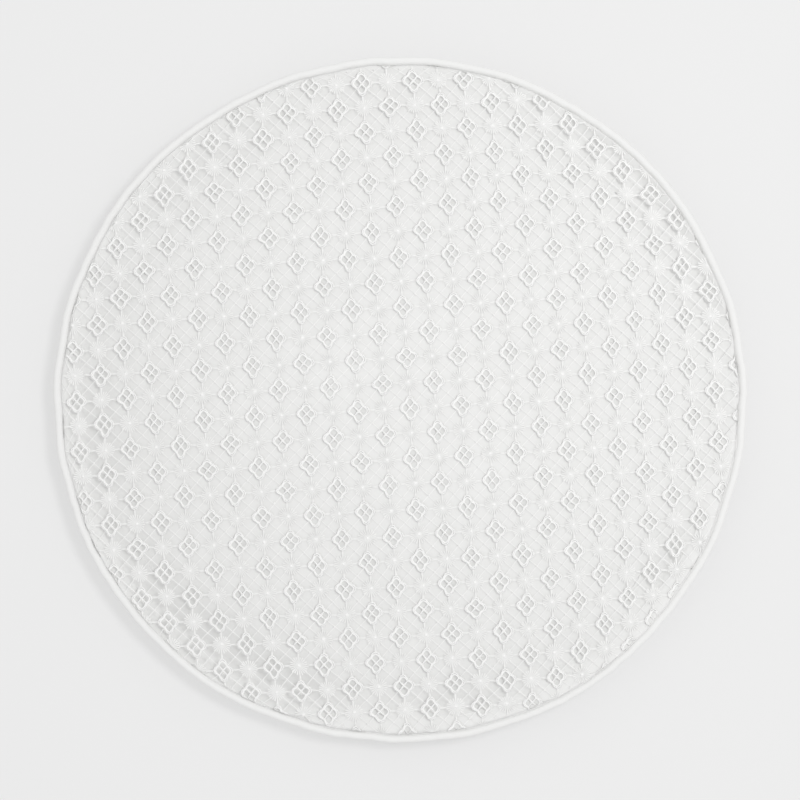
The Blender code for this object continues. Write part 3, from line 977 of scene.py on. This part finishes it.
def flare(points):
    """Where the allowances tip down, the top of the side leans out to meet them under the piping."""
    angle = polar(points)[1]
    steep = allowance_fall(angle)[0] / (SEAM_RADIUS - ALLOWANCE_RADIUS)
    near_top = steep * np.clip((points[:, 2] - FLARE_FROM) / (BACK_TOP - FLARE_FROM), 0, 1) ** 2
    move_out(points, angle, FLARE_OUT * near_top)
    points[:, 2] -= FLARE_DOWN * near_top


profile = [Vector((ALLOWANCE_RADIUS, BACK_TOP)), Vector((0.190, BACK_TOP))]
profile += [side_place(fold * i / ABOVE_FOLD) for i in range(ABOVE_FOLD)]
profile += [side_place(fold + (1 - fold) * i / BELOW_FOLD) for i in range(BELOW_FOLD)]
profile += [Vector((REST_RADIUS * (1 - i / FLAT_RINGS), 0.0)) for i in range(FLAT_RINGS + 1)]
outwards = profile[:1:-1]  # from the middle to the top of the side
steps_out = [(b - a).length for a, b in zip(outwards, outwards[1:])]
run_out = np.concatenate([[0.0], np.cumsum(steps_out)])
radius_out = np.array([place.x for place in outwards])
height_out = np.array([place.y for place in outwards])


def run_from_middle(radius, height):
    """How far the cloth runs from the middle of the back: read from the radius, or on the side the height."""
    on_side = np.interp(height, height_out[FLAT_RINGS:], run_out[FLAT_RINGS:])
    return np.where(radius > ALLOWANCE_RADIUS, on_side, np.interp(radius, radius_out, run_out))


back = spin(section("back_panel_cloth", profile, closed=False), 0, math.tau, BACK_STEPS)
map_flat(back, run_from_middle)
fold_z = side_place(fold).y
points = points_of(back)
radius, angle = polar(points)
free = off_zip(angle)
near_seam = np.exp(-(BACK_TOP - points[:, 2]) / (6 * MM)) * np.clip((radius - 0.188) / 0.003, 0, 1)
pucker = np.sin(angle * 106 + 2.0 * np.sin(angle * 7) + 1.3 * np.sin(angle * 17 + 1))
wave = ripple(points[:, 0], points[:, 1], ((0.16, 0.2, 1.0), (0.11, 1.4, 3.0), (0.07, 2.5, 0.4)))
side = np.clip(points[:, 2] / 0.004, 0, 1) * np.clip((radius - 0.13) / 0.02, 0, 1)
shift = free * (0.35 * MM * pucker * near_seam + 1.0 * MM * wave * side * (1 - near_seam))
inner = (points[:, 2] > BACK_TOP - 0.01 * MM) & (radius < SIDE_RADIUS)
flare(points)
down, inward = allowance_fall(angle)
along = np.where(inner, (SIDE_RADIUS - radius) / (SEAM_RADIUS - ALLOWANCE_RADIUS), 0.0)
shift += along * (SEAM_RADIUS - ALLOWANCE_RADIUS - inward)
move_out(points, angle, shift)
points[:, 2] -= along * down
set_points(back, points)


def in_opening(face):
    turn = math.atan2(face.center.y, face.center.x)
    return ZIP_FROM + END_COVER < turn < ZIP_TO - END_COVER and face.center.z > fold_z


edit(back, bpy.ops.mesh.delete, ("FACE", in_opening), type="FACE")
solidify(back, BACK_THICK)
smooth_by(back, 40)
done(back, back_cotton, "cushion", ["back_panel"])

# %% [markdown]
# ## The zip
# A nylon coil zip: two woven tapes, a coil of one filament sewn along each, stops at the ends, and
# a lacquered zinc slider with its pull. Each coil is a single curve that winds along the zip, its
# turns 1.3 mm apart, as on a number 5 coil.

# %% Coils
COIL_FROM, COIL_TO = math.radians(-99.4), math.radians(-10.6)
WIRE_HALF = 0.29 * MM
COIL_NEAR, COIL_FAR = 0.80 * MM, 3.00 * MM
COIL_LOW, COIL_HIGH = 0.32 * MM, 1.88 * MM
COIL_PITCH = 1.3 * MM
TURN_STEPS = 8

nylon, tree, shader = start_material("drawn_nylon_filament", "#F3F3F1", 0.38, IOR=1.53)
fine_grain(tree, shader, 900.0, 1.0, 0.02 * MM, 0.5)

turns = int((COIL_TO - COIL_FROM) * ZIP_MIDDLE.x / COIL_PITCH)
for name, way in (("zip_coil_upper", 1), ("zip_coil_lower", -1)):
    coil = new_curve(name + "_filament", WIRE_HALF)
    places = []
    half_across = (COIL_FAR - COIL_NEAR) / 2 - WIRE_HALF
    half_out = (COIL_HIGH - COIL_LOW) / 2 - WIRE_HALF
    for i in range(turns * TURN_STEPS + 1):
        turn = i / TURN_STEPS * math.tau + (0 if way == 1 else math.pi)
        angle = COIL_FROM + (COIL_TO - COIL_FROM) * i / (turns * TURN_STEPS)
        across = way * ((COIL_NEAR + COIL_FAR) / 2 - half_across * math.cos(turn))
        out = (COIL_LOW + COIL_HIGH) / 2 + half_out * math.sin(turn)
        places.append(zip_place(angle) @ Vector((0, across, out)))
    add_line(coil, places)
    curves_to_mesh(coil)
    done(coil, nylon, "cushion", [name])
print("turns in each coil:", turns)

# %% [markdown]
# ### Tapes and stops
# The tapes and stops of the frame have the right shape, so they stay and get their real finish. The
# tape is a herringbone of fine polyester. Its rows run round the cushion, so they are drawn from
# the angle about the middle and from the height. The stops are nickel, pressed on, with soft edges.

# %% Tape and nickel
tape, tree, shader = start_material("herringbone_polyester_tape", "#F1F1F0", 0.75, Sheen_Weight=0.2)
place = add_node(tree, "TexCoord")
around = add_node(tree, "TexGradient", {"Vector": (place, "Object")}, gradient_type="RADIAL")
parts = add_node(tree, "SeparateXYZ", {"Vector": (place, "Object")})
RIB_SPACING = 0.8 * MM
ribs = math.tau * ZIP_MIDDLE.x / RIB_SPACING
angle_in = add_node(tree, "Math", {0: (around, "Fac"), 1: ribs * math.tau}, operation="MULTIPLY")
folded = add_node(tree, "Math", {0: (parts, "Z"), 1: 3.0 * MM}, operation="PINGPONG")
slanted = add_node(tree, "Math", {0: (folded, 0), 1: math.tau / RIB_SPACING}, operation="MULTIPLY")
phase = add_node(tree, "Math", {0: (angle_in, 0), 1: (slanted, 0)}, operation="ADD")
rib = add_node(tree, "Math", {0: (phase, 0)}, operation="SINE")
raise_surface(tree, shader, (rib, 0), 0.05 * MM)

nickel, tree, shader = start_material("tumbled_nickel_stop", "#C9C8C4", 0.32, Metallic=1.0)
fine_grain(tree, shader, 1200.0, 2.0, 0.03 * MM, 0.5)

for name in ("zip_tape_upper", "zip_tape_lower"):
    dress(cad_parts[name], tape)
for name in ("zip_top_stop_upper", "zip_top_stop_lower", "zip_bottom_stop"):
    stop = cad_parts[name]
    dress(stop, nickel)
    add_modifier(stop, "WELD", merge_threshold=0.01 * MM)
    add_modifier(stop, "BEVEL", width=0.28 * MM, segments=3)
print("tapes and stops finished")

# %% [markdown]
# ### The slider and its pull
# Both are die cast in zinc and coated with white lacquer: smooth, rounded at every edge and glossier
# than the cloth. Each is built along its own axes at the origin, and then carried to its place at
# the closed end of the zip.


# %% Slider
def box_between(name, low, high):
    """A box between two corners, in millimetres."""
    middle = [(a + b) / 2 * MM for a, b in zip(low, high)]
    size = [(b - a) * MM for a, b in zip(low, high)]
    select_only()
    bpy.ops.mesh.primitive_cube_add(size=1, location=middle, scale=size)
    bpy.ops.object.transform_apply(location=True, rotation=True, scale=True)
    return named(name)


def round_corners(obj, radius, segments, wanted):
    """Bevels the edges that run outwards from the zip, where wanted says so of their middle."""


    def to_round(edge):
        a, b = (obj.data.vertices[v].co for v in edge.vertices)
        return abs((a - b).normalized().z) > 0.99 and wanted((a + b) / 2)

    edit(obj, bpy.ops.mesh.bevel, ("EDGE", to_round), offset=radius * MM, segments=segments)


def combine(obj, other, operation):
    add_modifier(obj, "BOOLEAN", operation=operation, solver="EXACT", object=other)
    apply_all(obj)
    bpy.data.objects.remove(other)


def soften(obj, width, place):
    """Rounds the edges of a casting, and carries it to its place."""
    bevel = add_modifier(obj, "BEVEL", width=width * MM, segments=3, limit_method="ANGLE")
    bevel.angle_limit = math.radians(35)
    apply_all(obj)
    obj.data.transform(place)
    smooth_by(obj, 35)


SLIDER_ANGLE = math.radians(-98)
slider = box_between("zip_slider_body", (-4.5, -4.0, 2.2), (4.5, 4.0, 3.1))
round_corners(slider, 1.4, 5, lambda middle: True)
for low, high in (
    ((-3.4, 3.3, 0.3), (3.4, 4.0, 2.6)),
    ((-3.4, -4.0, 0.3), (3.4, -3.3, 2.6)),
    ((-4.4, -0.5, -1.3), (-1.5, 0.5, 2.6)),
):
    combine(slider, box_between("part", low, high), "UNION")
inner = box_between("part", (-4.5, -3.6, -2.0), (4.5, 3.6, -1.1))
round_corners(inner, 1.2, 4, lambda middle: True)
combine(slider, inner, "UNION")
bridge = box_between("part", (-3.0, -0.8, 2.8), (3.0, 0.8, 5.4))
combine(bridge, box_between("room", (-2.2, -2.0, 3.1), (2.2, 2.0, 4.6)), "DIFFERENCE")
combine(slider, bridge, "UNION")
soften(slider, 0.16, zip_place(SLIDER_ANGLE))

settings = {"Coat_Weight": 0.5, "Coat_Roughness": 0.12}
lacquer, tree, shader = start_material("white_lacquered_zinc", "#F1F1EF", 0.28, **settings)
fine_grain(tree, shader, 700.0, 1.0, 0.02 * MM, 0.4)
done(slider, lacquer, "slider", ["zip_slider"])

# %% Pull
HINGE_HEIGHT = 3.85 * MM
pull = box_between("zip_pull_tab", (4.5, -3.1, -0.4), (20.0, 3.1, 0.4))
round_corners(pull, 2.4, 8, lambda middle: middle.x > 0.01)
round_corners(pull, 1.0, 4, lambda middle: middle.x < 0.006)
select_only()
bpy.ops.mesh.primitive_cylinder_add(vertices=28, radius=1.3 * MM, depth=4 * MM, location=(16.5 * MM, 0, 0))
combine(pull, named("hole"), "DIFFERENCE")
for low, high in (
    ((-0.4, 1.2, -0.4), (5.2, 2.2, 0.4)),
    ((-0.4, -2.2, -0.4), (5.2, -1.2, 0.4)),
    ((-0.4, -1.4, -0.4), (0.4, 1.4, 0.4)),
):
    combine(pull, box_between("part", low, high), "UNION")
soften(pull, 0.14, zip_place(SLIDER_ANGLE) @ Matrix.Translation((0, 0, HINGE_HEIGHT)))
done(pull, lacquer, "pull", ["zip_pull"])

# %% [markdown]
# ### Stitches
# A row of lockstitch holds the edge of the back to the lower tape, and another holds the upper tape
# just under the piping. Each stitch is a short line that dips into the cloth at its two ends.

# %% Stitch rows
STITCH_LENGTH, STITCH_GAP = 2.4 * MM, 0.7 * MM
STITCH_HALF = 0.17 * MM
SAG = 0.10 * MM


def on_back(distance, lift):
    """A place below the fold, by its distance along the back's line, lifted off the cloth."""
    place, t = side_place(fold), fold
    gone = 0.0
    while gone < distance:
        t += 0.002
        following = side_place(t)
        gone += (following - place).length
        place, before = following, place
    along = (place - before).normalized()
    return place + lift * Vector((-along.y, along.x))


stitches = new_curve("zip_stitches", STITCH_HALF, 0)
lower_row = on_back(1.8 * MM, 0.08 * MM)
upper_row = ZIP_MIDDLE + 5.2 * MM * ZIP_UP + 0.10 * MM * ZIP_OUT
step = (STITCH_LENGTH + STITCH_GAP) / ZIP_MIDDLE.x
for place in (lower_row, upper_row):
    angle = ZIP_FROM + step
    while angle < ZIP_TO - step:
        ends = []
        for turn in (angle, angle + STITCH_LENGTH / ZIP_MIDDLE.x):
            ends.append(Vector((place.x * math.cos(turn), place.x * math.sin(turn), place.y)))
        out = Vector((math.cos(angle) * ZIP_OUT.x, math.sin(angle) * ZIP_OUT.x, ZIP_OUT.y))
        shares = ((0.0, SAG), (0.2, 0.0), (0.8, 0.0), (1.0, SAG))
        add_line(stitches, [ends[0].lerp(ends[1], share) - out * low for share, low in shares])
        angle += step
curves_to_mesh(stitches)
sewing_thread, tree, shader = start_material("spun_polyester_thread", "#F6F6F5", 0.6, Sheen_Weight=0.2)
fine_grain(tree, shader, 3000.0, 1.0, 0.05 * MM, 0.6)
done(stitches, sewing_thread, "cushion")

# %% [markdown]
# ## The care label
# A blank loop of white satin ribbon, sewn into the seam beside the zip and lying on the back's side.
# It is drawn as the line that the ribbon follows: down over the side, round its own fold, and up.

# %% Label
LABEL_FROM, LABEL_TO = math.radians(-117.6), math.radians(-110.8)
LABEL_THICK = 0.16 * MM
over, under = [], []
for i in range(-3, 13):
    t = 0.06 + 0.55 * i / 12 if i >= 0 else (0.002, 0.012, 0.032)[i + 3]
    place, following = side_place(t), side_place(t + 0.01)
    along = (following - place).normalized()
    out = Vector((-along.y, along.x))
    curl = 0.5 * MM * max(0, i / 12) ** 3
    under.append(place + (0.42 * MM + curl) * out)
    over.append(place + (0.86 * MM + curl) * out)
bend = (over[-1] + under[-1]) / 2 + (over[-1] - over[-2]).normalized() * 0.25 * MM
ribbon = over + [bend] + under[::-1]
label = spin(section("care_label_ribbon", ribbon, closed=False), LABEL_FROM, LABEL_TO, 14)
points = points_of(label)
flare(points)
set_points(label, points)
map_ring(label, lambda r, z: z * 2)
solidify(label, LABEL_THICK, offset=0.0)
smooth_by(label, 60)
settings = {"Sheen_Weight": 0.3, "Anisotropic": 0.5}
satin, tree, shader = start_material("satin_ribbon", "#F5F5F5", 0.38, **settings)
flat_uv = add_node(tree, "UVMap", uv_map=FLAT_MAP)
scale = WAVE_PER_METRE / (0.5 * MM)
floats = add_node(tree, "TexWave", {"Vector": (flat_uv, "UV"), "Scale": scale, "Distortion": 0.5})
raise_surface(tree, shader, (floats, "Fac"), 0.02 * MM, 0.8)
done(label, satin, "cushion", ["care_label"])
